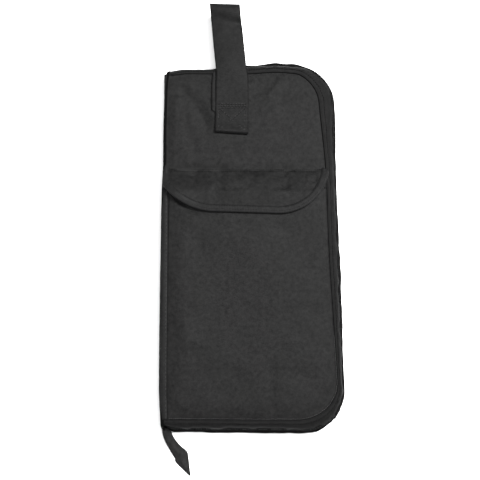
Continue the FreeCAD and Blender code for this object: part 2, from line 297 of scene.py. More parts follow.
def make(name, points, faces, material, uv=None):
    """A mesh object from points in millimetres."""
    mesh = bpy.data.meshes.new(name)
    places = (np.asarray(points).reshape(-1, 3) * MM).tolist()
    mesh.from_pydata(places, [], [list(map(int, face)) for face in faces])
    mesh.materials.append(material)
    mesh.polygons.foreach_set("use_smooth", np.ones(len(mesh.polygons), bool))
    if uv is not None:
        layer = mesh.uv_layers.new(name="Cloth")
        loops = np.zeros(len(mesh.loops), np.int32)
        mesh.loops.foreach_get("vertex_index", loops)
        layer.data.foreach_set("uv", (uv.reshape(-1, 2)[loops] * MM).astype(np.float32).ravel())
    mesh.validate()
    obj = bpy.data.objects.new(name, mesh)
    bpy.context.scene.collection.objects.link(obj)
    return obj


def cloth_uv(points):
    """Cloth coordinates of a grid: millimetres along its rows and columns."""
    across = np.linalg.norm(np.diff(points, axis=1), axis=2).mean(0)
    along = np.linalg.norm(np.diff(points, axis=0), axis=2).mean(1)
    u = np.concatenate([[0], np.cumsum(across)])
    v = np.concatenate([[0], np.cumsum(along)])
    return np.stack(np.meshgrid(u, v), -1)


def surface(name, points, material, thickness=0.0, offset=-1.0, around=False, caps=False):
    """A grid of points (rows, columns, 3) as a skin, with a real thickness where it is given."""
    points = np.asarray(points, float)
    rows, columns = points.shape[:2]
    faces = grid_faces(rows, columns, around).tolist()
    if caps:
        faces.append(list(range(columns))[::-1])
        faces.append([(rows - 1) * columns + k for k in range(columns)])
    obj = make(name, points, faces, material, cloth_uv(points))
    if thickness:
        solid = obj.modifiers.new("thickness", "SOLIDIFY")
        solid.thickness = thickness * MM
        solid.offset = offset
        solid.use_rim = True
    return obj


def swept(name, path, outward, upward, profile, material):
    """A closed section swept along a path. Each point of the profile is (outward, upward)."""
    profile = np.asarray(profile, float)
    across = outward[:, None] * profile[None, :, :1] + upward[:, None] * profile[None, :, 1:]
    return surface(name, path[:, None] + across, material, around=True, caps=True)


def beads(name, centres, directions, length, radius, material):
    """Small rounded bars, such as stitches or zip teeth, as one mesh."""
    sides, shoulder = 6, 0.32
    upright = np.abs(directions[:, 2:]) > 0.9
    up = np.where(upright, [[1.0, 0, 0]], [[0, 0, 1.0]])
    side = unit(np.cross(directions, up))
    over = np.cross(side, directions)
    turn = np.arange(sides) * 2 * PI / sides
    ring = side[:, None] * np.cos(turn)[None, :, None] + over[:, None] * np.sin(turn)[None, :, None]
    parts = [(centres - directions * length / 2)[:, None]]
    for place in (-shoulder, shoulder):
        parts.append((centres + directions * length * place)[:, None] + ring * radius)
    parts.append((centres + directions * length / 2)[:, None])
    points = np.concatenate(parts, axis=1)
    size = 2 * sides + 2
    faces = []
    for k in range(sides):
        after = (k + 1) % sides
        faces.append([0, 1 + after, 1 + k])
        faces.append([1 + k, 1 + after, 1 + sides + after, 1 + sides + k])
        faces.append([size - 1, 1 + sides + k, 1 + sides + after])
    all_faces = []
    for i in range(len(centres)):
        all_faces.extend([[i * size + corner for corner in face] for face in faces])
    return make(name, points, all_faces, material)


def stitches(name, paths, material, pitch=STITCH_PITCH):
    """Rows of hand-guided stitches along paths, none quite in line."""
    astray, askew = (0.18, 0.18, 0.05), 0.09
    found = [spaced(np.asarray(path, float), pitch) for path in paths]
    centres = np.concatenate([centre for centre, _ in found])
    directions = np.concatenate([direction for _, direction in found])
    draw = np.random.default_rng(len(centres))
    centres = centres + draw.normal(0, 1, centres.shape) * astray
    directions = unit(directions + draw.normal(0, askew, directions.shape))
    length = STITCH_LENGTH * pitch / STITCH_PITCH
    return beads(name, centres, directions, length, STITCH_RADIUS, material)


def joined(name, objects):
    """One object out of several."""
    bpy.ops.object.select_all(action="DESELECT")
    for obj in objects:
        obj.select_set(True)
    bpy.context.view_layer.objects.active = objects[0]
    bpy.ops.object.join()
    objects[0].name = name
    return objects[0]


def belongs(piece, body, slot, *nodes):
    """The piece moves with a body and stands for the CAD nodes named, which are hidden. The slot is not
    used.
    """
    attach(piece, body)
    if nodes:
        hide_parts(*nodes)


def bends(piece, bodies, start, end, slot, *nodes):
    """The piece crosses the joint between two bodies; its mesh is baked where it stands and the CAD nodes
    named are hidden. The bodies, start, end and slot are not used.
    """
    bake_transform(piece)
    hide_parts(*nodes)


# ---- materials


class Nodes:
    """A material's node tree, with short ways to add and link nodes."""

    def __init__(self, name):
        self.material = bpy.data.materials.new(name)
        self.material.use_nodes = True
        self.tree = self.material.node_tree
        self.shader = self.tree.nodes["Principled BSDF"]

    def add(self, kind, links=(), **values):
        node = self.tree.nodes.new(kind)
        for key, value in values.items():
            setattr(node, key, value)
        for socket, value in dict(links).items():
            if isinstance(value, bpy.types.NodeSocket):
                self.tree.links.new(value, node.inputs[socket])
            else:
                node.inputs[socket].default_value = value
        return node

    def math(self, operation, first, second=0.0):
        return self.add("ShaderNodeMath", {0: first, 1: second}, operation=operation).outputs[0]

    def noise(self, vector, scale, detail=2.0, roughness=0.5):
        links = {"Vector": vector, "Scale": scale, "Detail": detail, "Roughness": roughness}
        return self.add("ShaderNodeTexNoise", links).outputs["Fac"]

    def ramp(self, value, stops):
        node = self.add("ShaderNodeValToRGB", {"Fac": value})
        while len(node.color_ramp.elements) < len(stops):
            node.color_ramp.elements.new(0.5)
        for element, (place, colour) in zip(node.color_ramp.elements, stops):
            element.position = place
            element.color = (*colour, 1) if isinstance(colour, tuple) else (colour, colour, colour, 1)
        return node.outputs["Color"]

    def set(self, **values):
        for key, value in values.items():
            self.shader.inputs[key.replace("_", " ")].default_value = value

    def link(self, socket, value):
        self.tree.links.new(value, self.shader.inputs[socket])


def tinted(grey, warmth=0.0):
    """A near-black grey, a little blue below 0 and a little brown above."""
    return (grey * (1 + warmth), grey, grey * (1 - warmth))


# Sizes of what shows in a cloth, in millimetres, and how much of its tone each makes.
FOLD_SIZE, BLOTCH_SIZE, SLUB_SIZE, YARN_SIZE = 14, 38, 5, 1.6
WEAVE_TONE, YARN_TONE, BLOTCH_TONE, SLUB_TONE = 0.15, 0.40, 0.25, 0.45
DARKEST, LIGHTEST = 0.46, 0.79
WEAVE_STRENGTH, FOLD_STRENGTH, FOLD_DEPTH = 0.55, 0.25, 1.2


def woven(name, grey, pitch, rough, sheen, ribs=0.0, mottling=0.45, depth=0.12, gloss=0.06):
    """Woven cloth: a plain weave of the given pitch in millimetres, uneven yarns, blotches and soft wear."""
    nodes = Nodes(name)
    place = nodes.add("ShaderNodeTexCoord")
    cloth = nodes.add("ShaderNodeSeparateXYZ", {"Vector": place.outputs["UV"]})
    turns = 2 * PI / (pitch * MM)
    warp = nodes.math("SINE", nodes.math("MULTIPLY", cloth.outputs["X"], turns))
    weft = nodes.math("SINE", nodes.math("MULTIPLY", cloth.outputs["Y"], turns * (1 - 0.5 * ribs)))
    weave = nodes.math("MULTIPLY", warp, weft)
    if ribs:
        plain = nodes.math("MULTIPLY", weave, 1 - ribs)
        weave = nodes.math("ADD", plain, nodes.math("MULTIPLY", weft, ribs))
    weave = nodes.math("MULTIPLY_ADD", weave, 0.5)
    weave.node.inputs[2].default_value = 0.5
    solid = place.outputs["Object"]
    yarn = nodes.noise(solid, 1 / (YARN_SIZE * MM), 3.0, 0.6)
    blotch = nodes.noise(solid, 1 / (BLOTCH_SIZE * MM), 3.0, 0.55)
    slub = nodes.noise(solid, 1 / (SLUB_SIZE * MM), 2.0, 0.55)
    tone = nodes.math("MULTIPLY", weave, WEAVE_TONE)
    for part, share in ((yarn, YARN_TONE), (blotch, BLOTCH_TONE), (slub, SLUB_TONE)):
        tone = nodes.math("ADD", tone, nodes.math("MULTIPLY", part, share))
    low, high = tinted(grey * (1 - mottling), -0.015), tinted(grey * (1 + mottling), 0.01)
    nodes.link("Base Color", nodes.ramp(tone, [(DARKEST, low), (LIGHTEST, high)]))
    nodes.link("Roughness", nodes.ramp(blotch, [(0.3, rough - 0.07), (0.7, rough + 0.07)]))
    height = nodes.math("ADD", weave, nodes.math("MULTIPLY", yarn, 0.9))
    links = {"Height": height, "Strength": WEAVE_STRENGTH, "Distance": depth * MM}
    fine = nodes.add("ShaderNodeBump", links).outputs["Normal"]
    folds = nodes.noise(solid, 1 / (FOLD_SIZE * MM), 2.0, 0.5)
    links = {"Height": folds, "Strength": FOLD_STRENGTH, "Distance": FOLD_DEPTH * MM, "Normal": fine}
    nodes.link("Normal", nodes.add("ShaderNodeBump", links).outputs["Normal"])
    nodes.set(Specular_IOR_Level=gloss, Sheen_Weight=sheen, Sheen_Roughness=0.45)
    nodes.set(Sheen_Tint=(0.75, 0.77, 0.8, 1))
    return nodes.material


def moulded(name, grey, rough, grain=0.35, gloss=0.5):
    """Thread, plastic or lacquered metal with a fine grain and rubbed, uneven gloss."""
    nodes = Nodes(name)
    solid = nodes.add("ShaderNodeTexCoord").outputs["Object"]
    grains = nodes.noise(solid, 1 / (grain * MM), 2.0)
    rubbed = nodes.noise(solid, 1 / (SLUB_SIZE * MM), 3.0, 0.6)
    nodes.link("Base Color", nodes.ramp(rubbed, [(0.35, tinted(grey * 0.8)), (0.75, tinted(grey * 1.5))]))
    nodes.link("Roughness", nodes.ramp(rubbed, [(0.3, rough - 0.08), (0.7, rough + 0.12)]))
    bump = nodes.add("ShaderNodeBump", {"Height": grains, "Strength": 0.3, "Distance": 0.04 * MM})
    nodes.link("Normal", bump.outputs["Normal"])
    nodes.set(Specular_IOR_Level=gloss)
    return nodes.material


SHELL = woven("shell_cloth", 0.0060, 0.9, 0.62, 0.02, mottling=0.6)
# The flap's cloth is a darker copy of the shell cloth: painted shade for the flap, which catches less light
# than the panel.
FLAP_CLOTH_PAINTED_SHADE = woven("flap_cloth_painted_shade", 0.0053, 0.9, 0.62, 0.02, mottling=0.6)
# The gusset's cloth is a darker copy of the shell cloth: painted shade for the side walls, which face away
# from the overhead light.
GUSSET_CLOTH_PAINTED_SHADE = woven("gusset_cloth", 0.0039, 0.9, 0.66, 0.01)
# The darkest copy of the shell cloth, with little gloss: painted deep shade on the back gusset under the
# front gusset's bulge, and on the spine strips.
DEEP_PAINTED_SHADE_CLOTH = woven("back_gusset_cloth", 0.0013, 0.9, 0.7, 0.002, gloss=0.02)
LINING = woven("lining_cloth", 0.005, 0.6, 0.5, 0.03, depth=0.05)
TAPE = woven("grosgrain_tape", 0.0056, 1.3, 0.6, 0.02, ribs=0.7, depth=0.2)
WEBBING = woven("webbing_weave", 0.0043, 1.7, 0.6, 0.02, ribs=0.35, mottling=0.55, depth=0.25)
ZIP_TAPE = woven("zip_tape_knit", 0.0018, 1.0, 0.7, 0.01, ribs=0.5)
TAIL_TAPE = woven("tail_tape_weave", 0.008, 1.1, 0.62, 0.03, ribs=0.3, mottling=0.6, depth=0.3)
FOAM = woven("foam_skin", 0.12, 1.4, 0.85, 0.0, mottling=0.12, depth=0.08)
HOOKS = woven("hook_tape", 0.0035, 1.5, 0.75, 0.05, depth=0.5)
LOOPS = woven("loop_tape", 0.0045, 0.7, 0.9, 0.1, depth=0.3)
THREAD = moulded("sewing_thread", 0.0035, 0.65, grain=0.2, gloss=0.06)
# Dark thread: the real thread of the gusset rows, and also painted shade beside the handle's stitches and
# along the flap's seam.
DARK_THREAD_AND_PAINTED_SHADE = moulded("seam_thread", 0.0012, 0.7, grain=0.2, gloss=0.02)
LIGHT_THREAD = moulded("handle_thread", 0.018, 0.6, grain=0.2, gloss=0.1)
# A much lighter thread than the others: a painted highlight for the light line where the pocket's bottom
# seam rolls over.
SEAM_THREAD_PAINTED_HIGHLIGHT = moulded("bottom_seam_painted_highlight", 0.032, 0.6, grain=0.2, gloss=0.1)
COIL = moulded("zip_coil_nylon", 0.0035, 0.55, gloss=0.05)
METAL = moulded("black_lacquer", 0.006, 0.62, gloss=0.03)


# ---- the front half's faces

# Ripples: height, wavelength, seed. Creases: height, start, end, width, bow.
# Puckers: height, x, width, distance above the flap's seam, length.
PANEL_RIPPLES = ((0.5, 70, 5), (0.22, 26, 6))
PANEL_CREASES = (
    (-2.8, (-98, 206), (-44, 132), 7.5, -8),
    (-0.9, (-84, 190), (-60, 110), 7, 5),
    (1.9, (58, 215), (27, 177), 3.2, 0),
    (-0.9, (66, 206), (44, 174), 4, 0),
    (1.2, (38, 190), (12, 180), 2.8, 0),
    (0.6, (12, 132), (30, 96), 5, 0),
)
PANEL_PUCKERS = (
    (-2.3, -66, 14, 1.5, 5), (-2.5, -33, 8, 1.5, 5), (-0.8, 8, 7, 1.5, 5), (-1.2, 50, 5, 1.5, 5),
    (0.9, -13, 8, 9, 6), (1.3, 38, 6, 9, 6), (0.7, 66, 14, 9, 6),
)
POCKET_RIPPLES = ((0.8, 85, 11), (0.3, 30, 12))
POCKET_CREASES = (
    (-1.2, (31, -128), (30, -216), 8, 2),
    (0.5, (12, -120), (16, -210), 8, 0),
    (-0.6, (-70, 30), (-30, -60), 10, 6),
    (-0.5, (72, 20), (84, -110), 8, -4),
    (0.4, (-84, -60), (-60, -190), 9, 0),
)
FLAP_RIPPLES = ((0.5, 52, 21), (0.2, 20, 22))
FLAP_CREASES = ((-1.5, (88, 90), (86, 62), 4, 0), (0.7, (78, 88), (76, 72), 2.5, 0))
FLAP_PUCKERS = ((-0.7, -70, 9, -6, 6), (-0.8, -44, 8, -6, 6), (-0.6, 10, 6, -6, 6), (-0.9, 44, 5, -6, 6))


def panel_height(x, y):
    """The front panel's outer face."""
    from_spine = x - LEFT
    crown = smooth(np.minimum(rim_distance(x, y), from_spine) / 16)
    z = FACE - 1.3 + 1.7 * crown + crown * rippled(x, y, PANEL_RIPPLES)
    seam_pull = hill((y - FLAP_SEAM + 1) / 5) * smooth(from_spine, 0, 12) * (1 - smooth(x, 78, 18))
    return z + creased(x, y, PANEL_CREASES) - 1.2 * seam_pull + puckered(x, y, PANEL_PUCKERS)


POCKET_INSET = 0.3


def pocket_base(x, y):
    """The front pocket's outer face, empty but for its own fullness."""
    from_spine = x - POCKET_LOW[0]
    side = np.minimum(rim_distance(x, y, POCKET_INSET), from_spine)
    full = 1 - (1 - np.clip(side / 26, 0, 1)) ** 2.2
    z = FACE + 0.3 + 4.0 * full + full * rippled(x, y, POCKET_RIPPLES)
    over_binding = 0.5 * (1 - smooth(from_spine, 0, 9))
    edge_ridge = 0.7 * hill(side, 2.4, 1.7) * smooth(x, 60, 30)
    return z + over_binding + edge_ridge + creased(x, y, POCKET_CREASES)


def pocket_height(x, y):
    """The pocket is pressed in along the flap's edge, most at the lower left."""
    edge = flap_edge()
    below = np.interp(x, edge[:, 0], edge[:, 1]) - y
    lower_left = hill(x, -76, 26)
    deep, wide = 0.9 + 2.3 * lower_left, 2.2 + 3.0 * lower_left
    return pocket_base(x, y) - deep * hill((below - 0.6 * wide) / wide) * smooth(x, -101, 8)


FLAP_LEFT, FLAP_RIGHT = -103.0, 103.4
FLAP_GAP = span("loop_patch")[1][2] - POCKET_HIGH[2] + CLOTH + 0.3
# Each lower corner of the flap is part of an ellipse: where it starts, its width and its rise.
LEFT_CORNER = (-38, 73.8, 61)
RIGHT_CORNER = (40, 63.8, 64)


def flap_corner(corner, side, turn):
    start, width, rise = corner
    return np.stack([start + side * width * np.sin(turn), rise * (1 - np.cos(turn))], 1)


def flap_edge():
    """Points along the flap's lower edge: two elliptical corners and a nearly straight run between."""
    slope, level_at, raised = 0.025, 30, 1.6
    left_turn = math.asin((LEFT_CORNER[0] - FLAP_LEFT) / LEFT_CORNER[1])
    right_turn = math.asin((FLAP_RIGHT - RIGHT_CORNER[0]) / RIGHT_CORNER[1])
    left = flap_corner(LEFT_CORNER, -1, np.linspace(left_turn, 0, 60, False))
    x = np.linspace(LEFT_CORNER[0], RIGHT_CORNER[0], 36, False)
    middle = np.stack([x, 0 * x], 1)
    right = flap_corner(RIGHT_CORNER, 1, np.linspace(0, right_turn, 80))
    edge = np.concatenate([left, middle, right])
    edge[:, 1] += FLAP_END + raised - slope * (edge[:, 0] - level_at)
    edge[:, 1] = np.minimum(edge[:, 1], FLAP_SEAM - 0.3)
    return edge


def flap_height(x, y):
    """The flap's outer face: it slopes up over the pocket's mouth and then lies on the pocket."""
    drop = FLAP_SEAM - y
    past_panel = smooth(x, 80, 20)
    seam = (panel_height(x, 0 * y + FLAP_SEAM) - 0.4) * (1 - past_panel) + (FACE + 0.7) * past_panel
    slope = 9.2 * np.sin(PI / 2 * np.clip((drop + 1) / 34, 0, 1))
    tucked = 0.8 * smooth((0.3 - drop) / 1.5)
    lower_right = 2.0 * smooth(x, 60, 44) * smooth(drop, 0, 20)
    left_lift = 2.0 * hill(x, -86, 26) * smooth(drop, 0, 30)
    lower_left_lift = 2.4 * hill(x, -78, 22) * smooth(drop, 14, 16)
    droop = 1.2 * smooth(drop, 34, 20)
    z = seam + slope - tucked - lower_right + left_lift + lower_left_lift - droop
    z += smooth(drop, 0, 10) * rippled(x, y, FLAP_RIPPLES)
    z += puckered(x, y, FLAP_PUCKERS) + creased(x, y, FLAP_CREASES)
    over_mouth = smooth(drop, 11, 18)
    resting = pocket_base(x, y) + FLAP_GAP * over_mouth + 10 * (over_mouth - 1)
    sharpness = 1.1
    return z + np.logaddexp(0, sharpness * (resting - z)) / sharpness


def panel_grid(height, low_y, high_y, left, inset, step=2.6):
    """A panel's points, row by row from one end to the other."""
    y = rows_between(low_y, high_y, step, 0.75)[:, None]
    t = rows_between(0, 1, step / (RIGHT - LEFT), 0.5)[None, :]
    right = right_edge(y, inset)
    return on(height, left + (right - left) * t, y + 0 * t)


def front_cover():
    points = front(panel_grid(panel_height, -HALF_LENGTH, HALF_LENGTH, LEFT, 0))
    panel = surface("front_panel_cloth", points, SHELL, CLOTH)
    belongs(panel, "front_half", "shell_fabric", "front_panel")


def mouth_lift(x, y):
    """The pocket's mouth curves up at both ends, under the flap."""
    lift = 13 * smooth(x, 58, 36) + 5 * smooth(-x, 70, 28)
    return y + lift * smooth((y - 10) / (POCKET_HIGH[1] - 10))


# Sections of the tapes folded over the pockets' mouths: along the pocket, and out of it.
FRONT_HEM = ((-4, 0.1), (-4, 0.5), (0, 0.7), (4.2, 0.5), (5, -0.4), (4.2, -1.3), (-4, -1.2), (-4, -0.9))
INSIDE_HEM = ((-4, 0.1), (-4, 0.45), (0, 0.6), (4.2, 0.45), (4.9, -0.3), (4.2, -1.1), (-4, -1.0))
HEM_MIDDLE = 4


def hem_tape(name, node, path, profile, side, body):
    """A folded tape along a pocket's mouth."""
    outward = np.tile([0.0, 0, side], (len(path), 1))
    along = np.tile([0.0, 1, 0], (len(path), 1))
    if side < 0:
        profile = profile[::-1]
    hem = swept(name, path, along, outward, profile, TAPE)
    belongs(hem, body, "binding_tape", node)
    return hem


def fastener(name, node, height, lift, hold, material, body):
    """One side of the flap's fastener, on the cloth that it is sewn to."""
    low, high = span(node)
    x = np.linspace(low[0], high[0], 50)[None, :]
    y = np.linspace(low[1], high[1], 10)[:, None]
    patch = surface(name, hold(on(height, x, y, lift)), material, FASTENER_TAPE)
    belongs(patch, body, "hook_and_loop", node)


def front_pocket():
    left, low_y, high_y = POCKET_LOW[0], POCKET_LOW[1] - 0.7, POCKET_HIGH[1]
    points = panel_grid(pocket_height, low_y, high_y, left, POCKET_INSET, 2.4)
    points[..., 1] = mouth_lift(points[..., 0], points[..., 1])
    pocket = surface("front_pocket_cloth", front(points), SHELL, CLOTH)
    belongs(pocket, "front_half", "shell_fabric", "front_pocket")

    hem_y = high_y - HEM_MIDDLE
    x = left + (right_edge(hem_y, POCKET_INSET) - left) * np.linspace(0, 1, 90)
    path = on(pocket_height, x, hem_y)
    path[:, 1] = mouth_lift(path[:, 0], path[:, 1])
    hem = hem_tape("front_pocket_hem_tape", "front_pocket_hem", front(path), FRONT_HEM, 1.0, "front_half")
    fastener("hook_patch_tape", "hook_patch", pocket_height, 1.0, front, HOOKS, "front_half")


FLAP_TAPE = (
    (-8.3, 0.05), (-8.0, 0.5), (-5, 0.7), (-1.8, 0.85), (0.2, 0.9), (0.95, 0.4), (1.2, -0.5),
    (0.95, -1.4), (0.2, -1.8), (-4, -1.7), (-8.3, -1.2),
)
FLAP_BEND = 9


def flap():
    edge = flap_edge()
    t = np.linspace(0, 1, 34)[:, None]
    x = edge[None, :, 0]
    y = edge[None, :, 1] * (1 - t) + (FLAP_SEAM + 1.5) * t
    # The flap takes its darker copy of the shell cloth, painted shade.
    cloth = surface("flap_cloth", on(flap_height, x + 0 * t, y), FLAP_CLOTH_PAINTED_SHADE, CLOTH)
    seam = (0, FLAP_SEAM * MM, FACE * MM)
    past = (0, (FLAP_SEAM - FLAP_BEND) * MM, FACE * MM)
    bends(cloth, ("front_half", "pocket_flap"), seam, past, "shell_fabric", "flap_panel")
    binding = flap_binding(edge)
    fastener("loop_patch_tape", "loop_patch", flap_height, -CLOTH, np.asarray, LOOPS, "pocket_flap")
    flap_seam()


def flap_binding(edge):
    """The tape folded round the flap's free edge and sewn twice."""
    side = np.stack([np.full(12, FLAP_LEFT), np.linspace(FLAP_SEAM, edge[0, 1] + 1.5, 12)], 1)
    border = np.concatenate([side, edge[2:]])
    path = on(flap_height, border[:, 0], border[:, 1])
    ahead = unit(np.gradient(path, axis=0))
    up = np.tile([0.0, 0, 1], (len(path), 1))
    outward = unit(np.cross(ahead, up)) * [1, 1, 0]
    up = unit(np.cross(outward, ahead))
    tape = swept("flap_binding_tape", path, outward, up, FLAP_TAPE, TAPE)
    rows = [path + outward * place + up * 0.75 for place in (-6.9, -2.4)]
    binding = joined("flap_binding_tape", [tape, stitches("flap_binding_stitches", rows, THREAD)])
    belongs(binding, "pocket_flap", "binding_tape", "flap_binding")
    return binding


def flap_seam():
    """Two rows of stitches hold the flap's top edge to the front panel; their dark thread paints the shade
    of the seam's groove.
    """
    x = np.linspace(FLAP_LEFT + 4, RIGHT - 8, 120)
    rows = []
    for y in (FLAP_SEAM + 0.8, FLAP_SEAM - 2.2):
        z = np.maximum(panel_height(x, y), flap_height(x, y)) + 0.05
        rows.append(np.stack([x, 0 * x + y, z], 1))
    belongs(stitches("flap_seam_stitches", rows, DARK_THREAD_AND_PAINTED_SHADE, SEAM_PITCH), "front_half", "shell_fabric")


# ---- edges: piping, gussets, zip

SEAM_LINE = outline(0.0, SEAM_TOP_CORNER, SEAM_BOTTOM_CORNER)
ZIP_LINE = outline(REACH, ZIP_CORNER, ZIP_CORNER)
INNER_LINE = outline(0.0, ZIP_CORNER - REACH, ZIP_CORNER - REACH)
RIM_ALONG = lengths(ZIP_LINE)
RIM_X, RIM_Y = ZIP_LINE[:, 0], ZIP_LINE[:, 1]
ZIP_CLOSED = (RIM_X < ZIP_START - 2) & (RIM_Y > 0)


def zip_reach():
    """How much of the gusset's full reach each point of the zip line has: it tapers to the spine."""
    from_spine = RIM_X - LEFT
    top = 0.55 + 0.15 * smooth(from_spine, 0, 24) + 0.30 * smooth(from_spine, 58, 20)
    bottom = 0.6 + 0.4 * smooth(from_spine, 0, 14)
    return np.where(np.abs(RIM_Y) < HALF_LENGTH, 1.0, np.where(RIM_Y > 0, top, bottom))


def rim_points(half, share, height):
    """Points round the rim: share is 0 on the panel's seam and 1 on the zip line."""

    def held(line, hold):
        return hold(np.column_stack([line, np.zeros(len(line))]))[:, :2]

    inner = held(SEAM_LINE, front if half == "front" else back)
    base = held(INNER_LINE, back)
    outer = base + (held(ZIP_LINE, back) - base) * zip_reach()[:, None]
    share = np.broadcast_to(share, (len(inner),))[:, None]
    flat = inner + (outer - inner) * share
    return np.column_stack([flat, np.broadcast_to(height, (len(inner),))])


def rim_outward(path):
    ahead = unit(np.gradient(path, axis=0))
    return unit(np.column_stack([-ahead[:, 1], ahead[:, 0], np.zeros(len(path))]))


def corner_window():
    """1 in the middle of each rounded corner and 0 on the straights."""
    across = (RIM_X - (RIGHT + REACH - ZIP_CORNER)) / ZIP_CORNER
    along = (np.abs(RIM_Y) - (HALF_LENGTH + REACH - ZIP_CORNER)) / ZIP_CORNER
    return smooth(np.clip(np.minimum(across, along), 0, 1) / 0.6)


def crest():
    """How far the back gusset stands out past the zip line, in millimetres, along the rim."""
    top = 3.2 * smooth(RIM_X, 8, 30) * smooth(RIM_Y, 190, 25)
    top_corner = 4.6 * hill(RIM_Y, 212, 13) * smooth(RIM_X, 78, 16)
    side = 2.0 * smooth((HALF_LENGTH - np.abs(RIM_Y)) / 40)
    side_dips = 2.6 * hill(RIM_Y, 70, 50) + hill(RIM_Y, -150, 30)
    bottom = 2.9 * smooth(-RIM_Y, 190, 25)
    bottom_corner = 1.6 * hill(RIM_Y, -213, 14) * smooth(RIM_X, 80, 18)
    past_spine = 0.8 * smooth(RIM_X, -60, 30)
    return past_spine + top - top_corner + side - side_dips + bottom - bottom_corner


def zip_share():
    """Where the zip lies between the panels' seam and the rim's outermost line: it faces partly upwards."""
    along_top = (RIM_Y > HALF_LENGTH) & (RIM_X > ZIP_START - 2)
    straight = (REACH + 0.8 - top_rise(back(ZIP_LINE)[:, 0])) / REACH
    round_corner = smooth(RIM_Y, 150, 60)
    share = np.where(along_top, straight, 0.93 * (1 - round_corner) + straight * round_corner)
    tucked_under = 0.07 * smooth(-RIM_Y, 200, 20) * (1 - smooth(RIM_X, 55, 20))
    return share - tucked_under


# A gusset's section: its share of the way out, its depth below the panel and how loose it is there.
GUSSET_DEPTH = 10.3
FRONT_PROFILE = (
    (-0.04, 1.3, 0.0), (0.06, 0.5, 0.2), (0.16, 0.1, 0.5), (0.30, 0.25, 0.8), (0.44, 0.9, 1.0),
    (0.58, 2.0, 1.0), (0.71, 3.6, 1.0), (0.82, 5.4, 0.9), (0.91, 7.2, 0.7), (0.975, 8.9, 0.4),
    (1.0, GUSSET_DEPTH, 0.1),
)
BACK_PROFILE = (
    (-0.04, 1.3, 0.0), (0.08, 0.7, 0.3), (0.22, 0.4, 0.6), (0.40, 0.5, 0.9), (0.60, 1.0, 1.0),
    (0.80, 2.0, 1.1), (0.95, 3.6, 1.1), (1.03, 5.6, 1.0), (1.04, 7.4, 0.6), (1.02, 9.0, 0.3),
    (1.0, GUSSET_DEPTH, 0.1),
)


def gusset_points(front_half):
    """The gusset's grid: rows along the rim, columns from the panel's seam to the zip tape."""
    seed = 31 if front_half else 41
    pucker = 0.5 * corner_window()
    columns = []
    for share, depth, loose in FRONT_PROFILE if front_half else BACK_PROFILE:
        drop = depth * np.where(ZIP_CLOSED, MIDDLE / GUSSET_DEPTH, 1.0)
        toward_zip = smooth(share, 0.4, 0.5) if front_half else smooth(depth, 4.5, 5)
        held = share * (1 + (zip_share() - 1) * toward_zip)
        path = rim_points("front" if front_half else "back", held, FACE - drop if front_half else drop)
        wave = 0.42 * ripple(RIM_ALONG, 30 * share + 0 * RIM_ALONG, 30, seed)
        wave += 0.22 * ripple(RIM_ALONG, 9 * share, 12, seed + 1)
        push = loose * (wave + pucker * np.sin(RIM_ALONG * 2 * PI / 9 + 2.5 * share))
        if not front_half:
            push = push + crest() * smooth(share, 0.45, 0.5) * (1 - smooth(drop, 6.5, 4))
        path = path + rim_outward(path) * push[:, None] * 0.8
        path[:, 2] += (0.5 if front_half else 0.105) * push
        columns.append(path)
    points = np.stack(columns, 1)
    points[..., 2] = np.maximum(points[..., 2], 0.4)
    return points


def gusset(half):
    """The side wall's strip between a panel's seam and its zip tape, puckered along its length."""
    front_half = half == "front"
    body = f"{half}_half"
    points = gusset_points(front_half)
    if not front_half:
        points = points[::-1]
    # The front gusset takes the darker cloth and the back gusset the darkest one, both painted shade on the
    # side walls.
    strip = surface(f"{half}_gusset_cloth", points, GUSSET_CLOTH_PAINTED_SHADE if front_half else DEEP_PAINTED_SHADE_CLOTH, CLOTH, offset=1.0)
    belongs(strip, body, "shell_fabric", f"{half}_gusset")

    from_spine = RIM_X > LEFT + 12
    path = rim_points(half, 0.975 * zip_share() - 0.03, FACE - 8.9 if front_half else 8.9)
    rows = [(path + rim_outward(path) * 0.55 + [0, 0, 0.25])[from_spine & ~ZIP_CLOSED][:-1]]
    if front_half:
        path = rim_points(half, 0.30, FACE - 0.25)
        rows.insert(0, (path + rim_outward(path) * 0.5 + [0, 0, 0.55])[from_spine][:-1])
    belongs(stitches(f"{half}_gusset_stitches", rows, DARK_THREAD_AND_PAINTED_SHADE), body, "shell_fabric")
    # A row of bright stitches along the bottom seam paints in the highlight on the seam's rolled edge.
    if front_half:
        path = rim_points(half, -0.09, FACE + 1.35)
        row = path[(RIM_Y < -120) & (RIM_X > LEFT + 8)]
        belongs(stitches("bottom_seam_highlight_stitches", [row], SEAM_THREAD_PAINTED_HIGHLIGHT, SEAM_PITCH), body, "shell_fabric")


PIPING_RADIUS = 1.1
PIPING_SIDES = 10


def piping(half):
    """A covered cord in the seam between the panel and the gusset."""
    front_half = half == "front"
    path = rim_points(half, 0.0, FACE - 0.7 if front_half else 1.3)
    out = rim_outward(path)
    path, out = (path + out * PIPING_RADIUS)[2:-2], out[2:-2]
    up = np.tile([0.0, 0, 1], (len(path), 1))
    turn = np.arange(PIPING_SIDES) * 2 * PI / PIPING_SIDES
    over = -np.cos(turn) if front_half else np.cos(turn)
    profile = PIPING_RADIUS * np.stack([np.sin(turn), over], 1)
    # The piping takes the gusset's darker cloth, with the same painted shade.
    cord = swept(f"{half}_piping_cord", path, out, up, profile, GUSSET_CLOTH_PAINTED_SHADE)
    belongs(cord, f"{half}_half", "binding_tape", f"{half}_piping")


ZIP_TILT = 0.012
TOOTH_PITCH, TOOTH_LENGTH, TOOTH_RADIUS = 1.5, 3.4, 0.62


